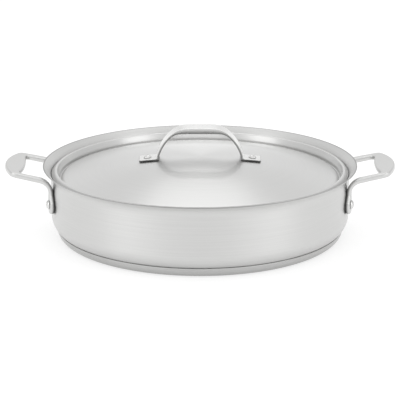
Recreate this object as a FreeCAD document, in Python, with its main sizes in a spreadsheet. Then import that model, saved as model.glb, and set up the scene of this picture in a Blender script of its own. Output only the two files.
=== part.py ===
import FreeCAD, Part
import os
import re

import Sketcher

# A 30 cm stainless braiser: a wide shallow pan with an encapsulated base, two riveted side
# handles, and a domed lid that drops inside the flared rim and carries an arched strap handle.
# Millimetres, +Z up, origin on the pan's axis at the underside of the base, handles along X.

doc = FreeCAD.newDocument("braiser")
sizes = doc.addObject("Spreadsheet::Sheet", "sizes")

# How near two places must be to count as one (mm), how upright an edge must stand (cosine), and
# how far two faces must turn at an edge for it to be sharp (radians).
SAME_PLACE = 1e-3
UPRIGHT = 0.99
SHARP_TURN = 0.3

DRIVING_SIZES = {
    # pan: drawn from one sheet, flared outwards at the rim
    "inside_radius": 150.0,
    "wall": 0.9,
    "corner_round": 17.5,
    "rim_height": 73.6,
    "flare_reach": 8.1,
    "flare_slope": 42.0,
    "flare_bend": 11.0,
    "rim_edge_round": 0.35,
    # base: an aluminium disc closed in by a pressed steel cap
    "core_depth": 4.9,
    "cap_sheet": 0.8,
    "cap_inset": 5.5,
    "cap_round": 9.0,
    "cap_lip_round": 0.35,
    "seam_gap": 0.08,
    # side handles: cast straps with a spade foot at each end and a broad grip
    "strap": 4.2,
    "arm_depth": 4.9,
    "foot_gap": 0.1,
    "foot_spread": 38.5,
    "foot_half_width": 8.3,
    "foot_straight": 3.7,
    "foot_taper": 8.15,
    "foot_neck": 1.5,
    "arm_width": 8.3,
    "arm_shift": 0.35,
    "arm_rise": 12.5,
    "arm_drop": 8.35,
    "bend_round": 11.5,
    "handle_reach": 45.8,
    "grip_narrowing": 2.1,
    "grip_end_radius": 84.0,
    "grip_corner_round": 9.0,
    "grip_depth": 19.2,
    "grip_bow": 3.6,
    "finger_round": 5.0,
    "strap_edge_round": 1.4,
    # side rivets
    "rivet_rise": 9.4,
    "rivet_shank_radius": 3.0,
    "rivet_head_radius": 4.8,
    "rivet_head_rise": 2.6,
    "rivet_inner_radius": 5.5,
    "rivet_inner_rise": 1.2,
    "rivet_dimple_radius": 1.3,
    "rivet_dimple_depth": 0.7,
    "hole_gap": 0.1,
    "head_gap": 0.15,
    # lid: a dome with a pressed channel and a flange that seats in the flare
    "lid_sheet": 0.75,
    "dome_radius": 555.0,
    "shoulder_round": 6.0,
    "shoulder_slope": 58.0,
    "shoulder_run": 2.0,
    "valley_round": 1.3,
    "channel_slope": 80.0,
    "channel_run": 8.3,
    "crest_round": 1.6,
    "flange_slope": 42.0,
    "flange_run": 3.06,
    "seat_angle": 15.0,
    "seat_gap": 0.3,
    # lid handle: an arched strap on two feet, one rivet in each
    "arch_width": 20.4,
    "arch_rise": 31.8,
    "arch_depth": 5.8,
    "arch_side": 1.9,
    "arch_half_span": 41.2,
    "arch_lean": 6.0,
    "arch_round_out": 31.0,
    "lid_foot_length": 17.0,
    "lid_foot_depth": 1.7,
    "lid_foot_gap": 0.1,
    "lid_foot_round": 6.0,
    "arch_root_round": 2.2,
    "arch_edge_round": 0.6,
    "lid_rivet_inset": 7.2,
    "lid_rivet_shank_radius": 2.4,
    "lid_rivet_head_radius": 3.6,
    "lid_rivet_head_rise": 2.0,
    "lid_rivet_inner_radius": 4.6,
    "lid_rivet_inner_rise": 1.0,
    "lid_rivet_dimple_radius": 1.1,
    "lid_rivet_dimple_depth": 0.6,
}

DERIVED_SIZES = {
    "outer_radius": "inside_radius + wall",
    "floor_under": "cap_sheet + core_depth",
    "floor_top": "floor_under + wall",
    "rim_radius": "outer_radius + flare_reach",
    "flare_corner": "rim_height - flare_reach * tan(flare_slope)",
    "flare_start": "flare_corner - flare_bend * tan((90 - flare_slope) / 2)",
    "flare_axis": "outer_radius + flare_bend",
    "cap_radius": "outer_radius - cap_inset",
    "cap_lip": "floor_under + corner_round - seam_gap"
               " - sqrt(corner_round^2 - (corner_round - cap_inset - cap_sheet)^2)",
    "cap_side_round": "min(cap_round; cap_lip - 1.5 * cap_lip_round)",
    "foot_inner": "outer_radius + foot_gap",
    "foot_outer": "foot_inner + strap",
    "grip_reach": "foot_inner + handle_reach",
    "strap_blank": "grip_reach + strap",
    "strap_drop": "arm_depth / cos(arm_rise)",
    "bend_top": "rim_height - arm_drop",
    "bend_under": "bend_top - strap_drop + strap * tan(arm_rise)",
    "blank_top": "bend_top + (handle_reach + strap) * tan(arm_rise)",
    "foot_taper_end": "bend_top - (bend_round + strap) * tan((90 - arm_rise) / 2) - foot_neck",
    "foot_taper_start": "foot_taper_end - foot_taper",
    "foot_round_top": "foot_taper_start - foot_straight",
    "foot_bottom": "foot_round_top - foot_half_width",
    "rivet_height": "foot_bottom + rivet_rise",
    "arm_inner": "foot_spread - arm_width / 2 - arm_shift",
    "arm_outer": "foot_spread + arm_width / 2 - arm_shift",
    "grip_half_width": "arm_outer - grip_narrowing",
    "grip_corner_x": "grip_reach - grip_end_radius + sqrt(grip_end_radius^2 - grip_half_width^2)",
    "grip_inner": "grip_reach - grip_depth",
    "grip_bow_radius": "(arm_inner^2 + grip_bow^2) / (2 * grip_bow)",
    "foot_plan_inner": "foot_spread - foot_half_width",
    "foot_plan_outer": "foot_spread + foot_half_width",
    "rivet_angle": "asin(foot_spread / foot_outer)",
    "seat_reach": "flare_bend + wall + seat_gap",
    "lid_edge": "flare_axis - seat_reach * cos(seat_angle)",
    "lid_edge_under": "flare_start + seat_reach * sin(seat_angle)",
    "lid_edge_top": "lid_edge_under + lid_sheet / cos(flange_slope)",
    "crest_out_x": "lid_edge - flange_run * cos(flange_slope)",
    "crest_out_z": "lid_edge_top + flange_run * sin(flange_slope)",
    "crest_in_x": "crest_out_x - crest_round * (sin(channel_slope) + sin(flange_slope))",
    "valley_out_x": "crest_in_x - channel_run * cos(channel_slope)",
    "valley_in_x": "valley_out_x - valley_round * (sin(shoulder_slope) + sin(channel_slope))",
    "shoulder_x": "valley_in_x - shoulder_run * cos(shoulder_slope)",
    "dome_reach": "(shoulder_x - shoulder_round * sin(shoulder_slope)) / (1 - shoulder_round / dome_radius)",
    "dome_slope": "asin(dome_reach / dome_radius)",
    "crest_in_z": "crest_out_z - crest_round * (cos(flange_slope) - cos(channel_slope))",
    "valley_out_z": "crest_in_z - channel_run * sin(channel_slope)",
    "valley_in_z": "valley_out_z - valley_round * (cos(shoulder_slope) - cos(channel_slope))",
    "shoulder_z": "valley_in_z + shoulder_run * sin(shoulder_slope)",
    "dome_end_z": "shoulder_z + shoulder_round * (cos(dome_slope) - cos(shoulder_slope))",
    "dome_centre": "dome_end_z - dome_radius * cos(dome_slope)",
    "lid_top": "dome_centre + dome_radius",
    "lid_foot_radius": "dome_radius + lid_foot_gap",
    "arch_outer": "arch_half_span + arch_side",
    "arch_top": "lid_top + arch_rise",
    "arch_under": "arch_top - arch_depth",
    "lid_foot_end": "arch_outer + lid_foot_length",
    "lid_rivet_reach": "lid_foot_end - lid_rivet_inset",
    "lid_foot_in_z": "dome_centre + sqrt(lid_foot_radius^2 - arch_half_span^2)",
    "lid_foot_end_z": "dome_centre + sqrt(lid_foot_radius^2 - lid_foot_end^2)",
    "lid_foot_top_radius": "lid_foot_radius + lid_foot_depth",
    "lid_foot_root_z": "dome_centre + sqrt(lid_foot_top_radius^2 - arch_outer^2)",
    "lid_foot_end_top_z": "dome_centre + sqrt(lid_foot_top_radius^2 - lid_foot_end^2)",
    "arch_corner": "arch_outer - (arch_top - lid_foot_root_z) * tan(arch_lean)",
    "arch_bend_x": "arch_corner - arch_round_out * tan((90 - arch_lean) / 2)",
    "arch_bend_z": "arch_top - arch_round_out",
    "arch_sheet": "(arch_side + (lid_foot_root_z - lid_foot_in_z) * tan(arch_lean)) * cos(arch_lean)",
    "arch_round_in": "arch_round_out - arch_sheet",
    "arch_grip_end": "arch_bend_x + sqrt(arch_round_in^2 - (arch_under - arch_bend_z)^2)",
    "lid_rivet_angle": "asin(lid_rivet_reach / dome_radius)",
}

for row, (alias, number) in enumerate(DRIVING_SIZES.items(), 1):
    sizes.set(f"A{row}", alias.replace("_", " "))
    sizes.set(f"B{row}", str(number))
    sizes.setAlias(f"B{row}", alias)
for row, (alias, formula) in enumerate(DERIVED_SIZES.items(), 1):
    sizes.set(f"D{row}", alias.replace("_", " "))
    sizes.set(f"E{row}", "=" + formula)
    sizes.setAlias(f"E{row}", alias)
doc.recompute()


def tied(formula):
    """Point every size named in a formula at its cell in the sheet."""
    known = DRIVING_SIZES.keys() | DERIVED_SIZES.keys()
    return re.sub(r"[a-z_]+", lambda word: f"sizes.{word[0]}" if word[0] in known else word[0], formula)


def value(formula):
    """The number that a formula of sizes gives now."""
    return float(sizes.evalExpression(tied(formula)))


def bind(thing, setting, formula):
    """Tie one setting of a feature to the sheet."""
    thing.setExpression(setting, tied(formula))


def new_body(name):
    body = doc.addObject("PartDesign::Body", name)
    body.Label = name
    return body


def new_sketch(body, name, role):
    """A sketch on one of the body's own origin planes."""
    sketch = body.newObject("Sketcher::SketchObject", f"{body.Name}_{name}")
    origin = next(plane for plane in body.Origin.OriginFeatures if plane.Role == role)
    sketch.AttachmentSupport = [(origin, "")]
    sketch.MapMode = "FlatFace"
    return sketch


def pin(sketch, edge, end, across, up):
    """Hold one end of an edge at a place given by two formulas."""
    for kind, axis, formula in (("DistanceX", -2, across), ("DistanceY", -1, up)):
        if formula == "0":
            sketch.addConstraint(Sketcher.Constraint("PointOnObject", edge, end, axis))
        else:
            held = sketch.addConstraint(Sketcher.Constraint(kind, -1, 1, edge, end, value(formula)))
            bind(sketch, f"Constraints[{held}]", formula)


def draw_loop(sketch, *corners):
    """Close a loop through corners (across, up). A corner with two more entries (radius, turn) is
    reached from the one before along an arc of that radius, turning left (1) or right (-1)."""
    spots = [FreeCAD.Vector(value(corner[0]), value(corner[1]), 0) for corner in corners]
    ends = []
    for place, corner in enumerate(corners):
        start, finish = spots[place - 1], spots[place]
        if len(corner) == 2:
            edge = sketch.addGeometry(Part.LineSegment(start, finish), False)
            ends.append((edge, 1, 2))
            continue
        radius, turn = value(corner[2]), corner[3]
        chord = finish - start
        left = FreeCAD.Vector(-chord.y, chord.x, 0).normalize()
        rise = max(radius ** 2 - chord.Length ** 2 / 4, 0) ** 0.5
        centre = (start + finish) * 0.5 + left * (rise * turn)
        middle = centre - left * (radius * turn)
        edge = sketch.addGeometry(Part.Arc(start, middle, finish), False)
        forward = (sketch.getPoint(edge, 1) - start).Length < (sketch.getPoint(edge, 2) - start).Length
        ends.append((edge, 1, 2) if forward else (edge, 2, 1))
    for place, corner in enumerate(corners):
        edge, first, last = ends[place]
        following = ends[(place + 1) % len(ends)]
        sketch.addConstraint(Sketcher.Constraint("Coincident", edge, last, following[0], following[1]))
        pin(sketch, edge, last, corner[0], corner[1])
        if len(corner) == 4:
            held = sketch.addConstraint(Sketcher.Constraint("Radius", edge, value(corner[2])))
            bind(sketch, f"Constraints[{held}]", corner[2])


def draw_circle(sketch, across, up, radius):
    centre = FreeCAD.Vector(value(across), value(up), 0)
    edge = sketch.addGeometry(Part.Circle(centre, FreeCAD.Vector(0, 0, 1), value(radius)), False)
    pin(sketch, edge, 3, across, up)
    held = sketch.addConstraint(Sketcher.Constraint("Radius", edge, value(radius)))
    bind(sketch, f"Constraints[{held}]", radius)


def revolve(body, sketch, angle="360"):
    """Turn a sketch about the pan's axis, evenly to both sides."""
    turned = body.newObject("PartDesign::Revolution", f"{sketch.Name}_turned")
    turned.Profile = sketch
    turned.ReferenceAxis = (sketch, ["V_Axis"])
    turned.Midplane = angle != "360"
    bind(turned, "Angle", angle)
    doc.recompute()
    return turned


def cut_through(body, sketch, both_ways=True):
    """Cut a sketch's loops through everything, one way along its normal or both ways."""
    before = body.Shape.Volume
    cut = body.newObject("PartDesign::Pocket", f"{sketch.Name}_cut")
    cut.Profile = sketch
    cut.Type = "ThroughAll"
    cut.SideType = "Symmetric" if both_ways else "One side"
    cut.Reversed = not both_ways
    doc.recompute()
    if body.Shape.Volume > before - 1:
        raise ValueError(f"{cut.Name} cuts nothing")
    return cut


def ring_edges(shape, radius, height):
    """Names of the round edges about the Z axis at a radius and a height."""
    names = []
    for number, edge in enumerate(shape.Edges, 1):
        if edge.Degenerated or not isinstance(edge.Curve, Part.Circle):
            continue
        level = abs(edge.Curve.Axis.z) > UPRIGHT
        across, up = edge.Curve.Radius - radius, edge.Curve.Center.z - height
        if level and abs(across) < SAME_PLACE and abs(up) < SAME_PLACE:
            names.append(f"Edge{number}")
    return names


def upright_edges(shape, x, y):
    """Names of the straight upright edges at a place seen from above and at its mirror places."""
    names = []
    for number, edge in enumerate(shape.Edges, 1):
        offs = [(abs(vertex.X) - x, abs(vertex.Y) - y) for vertex in edge.Vertexes]
        there = all(abs(off) < SAME_PLACE for pair in offs for off in pair)
        if there and isinstance(edge.Curve, Part.Line) and abs(edge.Curve.Direction.z) > UPRIGHT:
            names.append(f"Edge{number}")
    return names


def fillet(body, name, edges, radius):
    rounded = body.newObject("PartDesign::Fillet", f"{body.Name}_{name}")
    rounded.Base = (body.Tip if body.Tip != rounded else rounded.BaseFeature, edges)
    bind(rounded, "Radius", radius)
    doc.recompute()
    return rounded


def round_ring(body, name, radius, height, rounding):
    """Fillet the round edge at a radius and a height, both formulas."""
    return fillet(body, name, ring_edges(body.Shape, value(radius), value(height)), rounding)


def flare_tangent(radius):
    """The place where an arc about the flare's axis of bending runs into the straight flare."""
    return (f"flare_axis - ({radius}) * sin(flare_slope)", f"flare_start + ({radius}) * cos(flare_slope)")


# Pan body: floor, wall and flare turned from one sheet, the outer face first and then the inner one.
# The rim is cut level, with its outer edge rounded. Four holes take the side rivets.
pan_body = new_body("pan_body")
pan_section = new_sketch(pan_body, "section", "XZ_Plane")
draw_loop(
    pan_section,
    ("0", "floor_under"),
    ("outer_radius - corner_round", "floor_under"),
    ("outer_radius", "floor_under + corner_round", "corner_round", 1),
    ("outer_radius", "flare_start"),
    (*flare_tangent("flare_bend"), "flare_bend", -1),
    ("rim_radius", "rim_height"),
    ("rim_radius - wall / sin(flare_slope)", "rim_height"),
    flare_tangent("flare_bend + wall"),
    ("inside_radius", "flare_start", "flare_bend + wall", 1),
    ("inside_radius", "floor_under + corner_round"),
    ("outer_radius - corner_round", "floor_top", "corner_round - wall", -1),
    ("0", "floor_top"),
)
revolve(pan_body, pan_section)
round_ring(pan_body, "rim_edge", "rim_radius", "rim_height", "rim_edge_round")


def rivet_holes(body, both_ways):
    """Cut the side rivets' holes along the radial lines of the two feet."""
    for side, sign in (("front", "-"), ("rear", "")):
        holes = new_sketch(body, f"{side}_hole", "YZ_Plane")
        holes.AttachmentOffset = FreeCAD.Placement(
            FreeCAD.Vector(), FreeCAD.Rotation(FreeCAD.Vector(0, 1, 0), value(f"{sign}rivet_angle")))
        bind(holes, "AttachmentOffset.Rotation.Angle", f"{sign}rivet_angle")
        draw_circle(holes, "0", "rivet_height", "rivet_shank_radius + hole_gap")
        cut_through(body, holes, both_ways)


rivet_holes(pan_body, both_ways=True)

# Base core: the aluminium disc that spreads heat, pressed flat against the pan's floor.
base_core = new_body("base_core")
core_outline = new_sketch(base_core, "outline", "XZ_Plane")
draw_loop(
    core_outline,
    ("0", "cap_sheet"),
    ("cap_radius - cap_side_round", "cap_sheet"),
    ("cap_radius - cap_side_round", "floor_under"),
    ("0", "floor_under"),
)
revolve(base_core, core_outline)

# Base cap: a pressed steel cup that closes the core in. Its lip ends where it meets the pan's corner.
base_cap = new_body("base_cap")
cap_section = new_sketch(base_cap, "section", "XZ_Plane")
draw_loop(
    cap_section,
    ("0", "0"),
    ("cap_radius - cap_side_round", "0"),
    ("cap_radius", "cap_side_round", "cap_side_round", 1),
    ("cap_radius", "cap_lip"),
    ("cap_radius - cap_sheet", "cap_lip"),
    ("cap_radius - cap_sheet", "cap_side_round"),
    ("cap_radius - cap_side_round", "cap_sheet", "cap_side_round - cap_sheet", -1),
    ("0", "cap_sheet"),
)
revolve(base_cap, cap_section)
round_ring(base_cap, "lip", "cap_radius", "cap_lip", "cap_lip_round")


def sharp_edges(shape, on_seat):
    """Names of a strap's sharp edges, leaving those whose ends all lie on its seat."""
    names = []
    for number, edge in enumerate(shape.Edges, 1):
        spot = edge.valueAt((edge.FirstParameter + edge.LastParameter) / 2)
        sides = shape.ancestorsOfType(edge, Part.Face)
        facing = [side.normalAt(*side.Surface.parameter(spot)) for side in sides]
        folded = len(facing) == 2 and facing[0].getAngle(facing[1]) > SHARP_TURN
        if folded and not all(on_seat(vertex.Point) for vertex in edge.Vertexes):
            names.append(f"Edge{number}")
    return names


def on_wall(spot):
    """Whether a point lies on the face that meets the pan's wall."""
    return abs((spot.x ** 2 + spot.y ** 2) ** 0.5 - value("foot_inner")) < SAME_PLACE


def side_handle(name, turn):
    """A side handle: a bent strap turned about the pan's axis so that its feet fit the wall, then
    trimmed to its outline from above, to its two feet from the side, and opened for the fingers."""
    body = new_body(name)
    strap = new_sketch(body, "strap", "XZ_Plane")
    draw_loop(
        strap,
        ("foot_inner", "foot_bottom - strap"),
        ("foot_outer", "foot_bottom - strap"),
        ("foot_outer", "bend_under"),
        ("strap_blank", "blank_top - strap_drop"),
        ("strap_blank", "blank_top"),
        ("foot_inner", "bend_top"),
    )
    sweep = "2 * asin((foot_plan_outer + 2 * strap) / foot_inner)"
    revolve(body, strap, sweep)
    round_ring(body, "bend_top", "foot_inner", "bend_top", "bend_round + strap")
    round_ring(body, "bend_under", "foot_outer", "bend_under", "bend_round")

    plan = new_sketch(body, "plan", "XY_Plane")
    margin = "strap_blank + 2 * strap"
    draw_loop(
        plan,
        ("0", f"-({margin})"),
        (margin, f"-({margin})"),
        (margin, margin),
        ("0", margin),
    )
    draw_loop(
        plan,
        ("strap", "arm_outer"),
        ("strap", "-arm_outer"),
        ("foot_outer", "-arm_outer"),
        ("grip_corner_x", "-grip_half_width"),
        ("grip_corner_x", "grip_half_width", "grip_end_radius", 1),
        ("foot_outer", "arm_outer"),
    )
    cut_through(body, plan)
    fingers = new_sketch(body, "fingers", "XY_Plane")
    draw_loop(
        fingers,
        ("strap", "arm_inner"),
        ("strap", "-arm_inner"),
        ("grip_inner + grip_bow", "-arm_inner"),
        ("grip_inner + grip_bow", "arm_inner", "grip_bow_radius", -1),
    )
    cut_through(body, fingers)
    grip_corners = upright_edges(body.Shape, value("grip_corner_x"), value("grip_half_width"))
    fillet(body, "grip_corners", grip_corners, "grip_corner_round")
    finger_corners = upright_edges(body.Shape, value("grip_inner + grip_bow"), value("arm_inner"))
    fillet(body, "finger_corners", finger_corners, "finger_round")

    feet_ring = new_sketch(body, "feet_ring", "XZ_Plane")
    draw_loop(
        feet_ring,
        ("foot_inner", "foot_bottom - strap"),
        ("foot_outer", "foot_bottom - strap"),
        ("foot_outer", "foot_taper_end"),
        ("foot_inner", "foot_taper_end"),
    )
    revolve(body, feet_ring, sweep)
    feet = new_sketch(body, "feet", "YZ_Plane")
    draw_loop(
        feet,
        ("-2 * arm_outer", "foot_bottom - 2 * strap"),
        ("2 * arm_outer", "foot_bottom - 2 * strap"),
        ("2 * arm_outer", "foot_taper_end"),
        ("arm_outer", "foot_taper_end"),
        ("foot_plan_outer", "foot_taper_start"),
        ("foot_plan_outer", "foot_round_top"),
        ("foot_plan_inner", "foot_round_top", "foot_half_width", -1),
        ("foot_plan_inner", "foot_taper_start"),
        ("arm_inner", "foot_taper_end"),
        ("-arm_inner", "foot_taper_end"),
        ("-foot_plan_inner", "foot_taper_start"),
        ("-foot_plan_inner", "foot_round_top"),
        ("-foot_plan_outer", "foot_round_top", "foot_half_width", -1),
        ("-foot_plan_outer", "foot_taper_start"),
        ("-arm_outer", "foot_taper_end"),
        ("-2 * arm_outer", "foot_taper_end"),
    )
    cut_through(body, feet)
    fillet(body, "soft_edges", sharp_edges(body.Shape, on_wall), "strap_edge_round")
    rivet_holes(body, both_ways=False)
    body.Placement = FreeCAD.Placement(FreeCAD.Vector(), FreeCAD.Rotation(FreeCAD.Vector(0, 0, 1), turn))
    return body


side_handle("right_handle", 0)
side_handle("left_handle", 180)


def rivet(name, prefix, grip_length):
    """A rivet standing on Z: the inner head below zero, the shank through the grip length, and the
    domed outer head above it with a set mark in its middle."""
    body = new_body(name)
    outline = new_sketch(body, "outline", "XZ_Plane")
    seat = f"{grip_length} + head_gap"
    crown = f"{seat} + {prefix}_head_rise"
    draw_loop(
        outline,
        ("0", f"-head_gap - {prefix}_inner_rise"),
        (f"{prefix}_inner_radius / 2", f"-head_gap - {prefix}_inner_rise"),
        (f"{prefix}_inner_radius", "-head_gap"),
        (f"{prefix}_shank_radius", "-head_gap"),
        (f"{prefix}_shank_radius", seat),
        (f"{prefix}_head_radius", seat),
        (f"{prefix}_dimple_radius", crown, f"{prefix}_head_radius", 1),
        ("0", f"{crown} - {prefix}_dimple_depth"),
    )
    revolve(body, outline)
    return body


RADIAL = FreeCAD.Rotation(FreeCAD.Vector(0, 1, 0), 90)
for side, handle_turn in (("right", 0), ("left", 180)):
    for place, sign in (("front", -1), ("rear", 1)):
        pinned = rivet(f"{side}_handle_{place}_rivet", "rivet", "foot_outer - inside_radius")
        lean = sign * value("rivet_angle")
        facing = FreeCAD.Rotation(FreeCAD.Vector(0, 0, 1), lean if side == "right" else handle_turn - lean)
        spot = facing.multVec(FreeCAD.Vector(value("inside_radius"), 0, value("rivet_height")))
        pinned.Placement = FreeCAD.Placement(spot, facing.multiply(RADIAL))

# Lid: dome, pressed channel and flange in one sheet. The flange's lower edge seats in the flare,
# which sets how high the dome stands.
lid = new_body("lid")
lid_section = new_sketch(lid, "section", "XZ_Plane")


def below(across, up, slope, sign):
    """The lower face's corner under an upper one, square to a sheet that falls (1) or rises (-1)."""
    shift = f"lid_sheet * sin({slope})"
    return (f"{across} - {shift}" if sign > 0 else f"{across} + {shift}", f"{up} - lid_sheet * cos({slope})")


draw_loop(
    lid_section,
    ("0", "lid_top - lid_sheet"),
    (*below("dome_reach", "dome_end_z", "dome_slope", 1), "dome_radius - lid_sheet", -1),
    (*below("shoulder_x", "shoulder_z", "shoulder_slope", 1), "shoulder_round - lid_sheet", -1),
    below("valley_in_x", "valley_in_z", "shoulder_slope", 1),
    (*below("valley_out_x", "valley_out_z", "channel_slope", -1), "valley_round + lid_sheet", 1),
    below("crest_in_x", "crest_in_z", "channel_slope", -1),
    (*below("crest_out_x", "crest_out_z", "flange_slope", 1), "crest_round - lid_sheet", -1),
    ("lid_edge", "lid_edge_under"),
    ("lid_edge", "lid_edge_top"),
    ("crest_out_x", "crest_out_z"),
    ("crest_in_x", "crest_in_z", "crest_round", 1),
    ("valley_out_x", "valley_out_z"),
    ("valley_in_x", "valley_in_z", "valley_round", -1),
    ("shoulder_x", "shoulder_z"),
    ("dome_reach", "dome_end_z", "shoulder_round", 1),
    ("0", "lid_top", "dome_radius", 1),
)
revolve(lid, lid_section)


def lid_rivet_holes(body):
    """Cut the lid rivets' holes square to the dome."""
    for side, sign in (("left", "-"), ("right", "")):
        hole = new_sketch(body, f"{side}_hole", "XY_Plane")
        hole.AttachmentOffset = FreeCAD.Placement(
            FreeCAD.Vector(0, 0, value("dome_centre")),
            FreeCAD.Rotation(FreeCAD.Vector(0, 1, 0), value(f"{sign}lid_rivet_angle")))
        bind(hole, "AttachmentOffset.Base.z", "dome_centre")
        bind(hole, "AttachmentOffset.Rotation.Angle", f"{sign}lid_rivet_angle")
        draw_circle(hole, "0", "0", "lid_rivet_shank_radius + hole_gap")
        cut_through(body, hole, both_ways=False)


lid_rivet_holes(lid)


def mirrored(corners):
    """The same corners across the upright axis, in the order that carries on round the loop."""
    back = []
    for place in reversed(range(len(corners))):
        arc = corners[place + 1][2:] if place + 1 < len(corners) else ()
        back.append((f"-({corners[place][0]})", corners[place][1]) + arc)
    return back


def leg_tangent(radius):
    """The place where an arc about the arch's bend runs into the leaning leg."""
    return (f"arch_bend_x + {radius} * cos(arch_lean)", f"arch_bend_z + {radius} * sin(arch_lean)")


# Lid handle: an arched strap drawn from the side and padded to its width. Its thin legs bend into the
# top, which is deepened to a flat underside for the grip. Its feet follow the dome.
lid_handle = new_body("lid_handle")
arch = new_sketch(lid_handle, "arch", "XZ_Plane")
right_half = [
    ("arch_bend_x", "arch_top"),
    (*leg_tangent("arch_round_out"), "arch_round_out", -1),
    ("arch_outer", "lid_foot_root_z"),
    ("lid_foot_end", "lid_foot_end_top_z", "lid_foot_top_radius", -1),
    ("lid_foot_end", "lid_foot_end_z"),
    ("arch_half_span", "lid_foot_in_z", "lid_foot_radius", 1),
    leg_tangent("arch_round_in"),
    ("arch_grip_end", "arch_under", "arch_round_in", 1),
]
draw_loop(arch, *right_half, *mirrored(right_half))
strip = lid_handle.newObject("PartDesign::Pad", "lid_handle_strip")
strip.Profile = arch
strip.SideType = "Symmetric"
bind(strip, "Length", "arch_width")
doc.recompute()


def crosswise_edges(shape, x, z):
    """Names of the edges along Y at a place seen from the front and at its mirror place."""
    names = []
    for number, edge in enumerate(shape.Edges, 1):
        offs = [(abs(vertex.X) - x, vertex.Z - z) for vertex in edge.Vertexes]
        if all(abs(off) < SAME_PLACE for pair in offs for off in pair):
            names.append(f"Edge{number}")
    return names


roots = crosswise_edges(lid_handle.Shape, value("arch_outer"), value("lid_foot_root_z"))
fillet(lid_handle, "roots", roots, "arch_root_round")
toes = upright_edges(lid_handle.Shape, value("lid_foot_end"), value("arch_width") / 2)
fillet(lid_handle, "toes", toes, "lid_foot_round")


def on_dome(spot):
    """Whether a point lies on the face that meets the lid."""
    height = spot.z - value("dome_centre")
    return abs((spot.x ** 2 + height ** 2) ** 0.5 - value("lid_foot_radius")) < SAME_PLACE


fillet(lid_handle, "soft_edges", sharp_edges(lid_handle.Shape, on_dome), "arch_edge_round")
lid_rivet_holes(lid_handle)

for side, sign in (("left", -1), ("right", 1)):
    pinned = rivet(f"lid_handle_{side}_rivet", "lid_rivet", "lid_sheet + lid_foot_gap + lid_foot_depth")
    lean = FreeCAD.Rotation(FreeCAD.Vector(0, 1, 0), sign * value("lid_rivet_angle"))
    spot = lean.multVec(FreeCAD.Vector(0, 0, value("dome_radius - lid_sheet")))
    pinned.Placement = FreeCAD.Placement(spot + FreeCAD.Vector(0, 0, value("dome_centre")), lean)

doc.recompute()
broken = [thing.Name for thing in doc.Objects if {"Invalid", "Error"} & set(thing.State)]
bodies = doc.findObjects("PartDesign::Body")
broken += [body.Label for body in bodies if body.Shape.isNull() or not body.Shape.isValid()]
if broken:
    raise ValueError("not built: " + ", ".join(broken))
os.makedirs("parts", exist_ok=True)
for body in bodies:
    print(body.Label, round(body.Shape.Volume, 1), len(body.Shape.Solids))
    body.Shape.exportStep(f"parts/{body.Label}.step")
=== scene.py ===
import bmesh
import bpy
import numpy as np
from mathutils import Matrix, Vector


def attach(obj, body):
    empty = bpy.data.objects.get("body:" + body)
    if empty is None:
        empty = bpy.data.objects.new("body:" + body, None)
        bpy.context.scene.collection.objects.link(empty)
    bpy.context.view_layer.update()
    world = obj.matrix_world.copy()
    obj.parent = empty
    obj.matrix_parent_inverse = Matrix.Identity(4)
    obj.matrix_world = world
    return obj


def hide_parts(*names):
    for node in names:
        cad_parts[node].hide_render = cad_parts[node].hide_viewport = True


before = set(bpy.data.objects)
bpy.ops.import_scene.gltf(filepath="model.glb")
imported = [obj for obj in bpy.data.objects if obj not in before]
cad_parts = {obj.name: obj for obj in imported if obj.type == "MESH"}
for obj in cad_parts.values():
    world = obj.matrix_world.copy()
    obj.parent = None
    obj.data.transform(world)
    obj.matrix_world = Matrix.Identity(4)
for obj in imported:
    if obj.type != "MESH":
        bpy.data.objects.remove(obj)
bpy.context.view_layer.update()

# Pan body: the floor, wall and flared rim of a braiser, drawn from one disc of 0.9 mm stainless
# steel. The rim is cut level, and floor and wall are brushed round and round with fine grit.
MM = 0.001
PAN_SHEET, PAN_INSIDE, PAN_FLOOR = 0.9, 150.0, 6.6
RIM_RADIUS, RIM_HEIGHT, FLARE_SLOPE = 159.0, 73.6, np.radians(42)
PAN_BENDS_IN, PAN_BENDS_OUT, LEVEL_CUT = (0, 16.6, 11.9, 0.12), (0, 17.5, 11, 0.3), (1, 0)
STEEL_LIGHT = "#dadad9"
STEEL_DARK = "#d2d2d1"
# The dark colour that painted shade mixes into the pan's and the lid's steel.
STEEL_PAINTED_SHADE = "#929291"
PAN_ROUGHNESS, PAN_SPREAD = 0.4, 0.8
# Painted shade on the pan: the rim's level cut and the top of its outer lip take most of the dark colour,
# for the shadow in the gap between lid and rim. The lower bend, inside and out, darkens towards the floor,
# for the shade in the inner corner and the shadowed floor that the outer bend mirrors.
RIM_CUT, RIM_BAND, RIM_UNSHADED = 73.5, 72.0, 0.2
BEND_TOP, BEND_FLOOR, BEND_UNSHADED, FLOOR_REACH = 20.0, 9.7, 0.7, 120


def straight(start, finish, count=10):
    """Points from start to finish that gather at both ends as (1 - cos) / 2."""
    share = ((1 - np.cos(np.linspace(0, np.pi, count))) / 2)[:, None]
    return (1 - share) * np.array(start) + share * np.array(finish)


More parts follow.
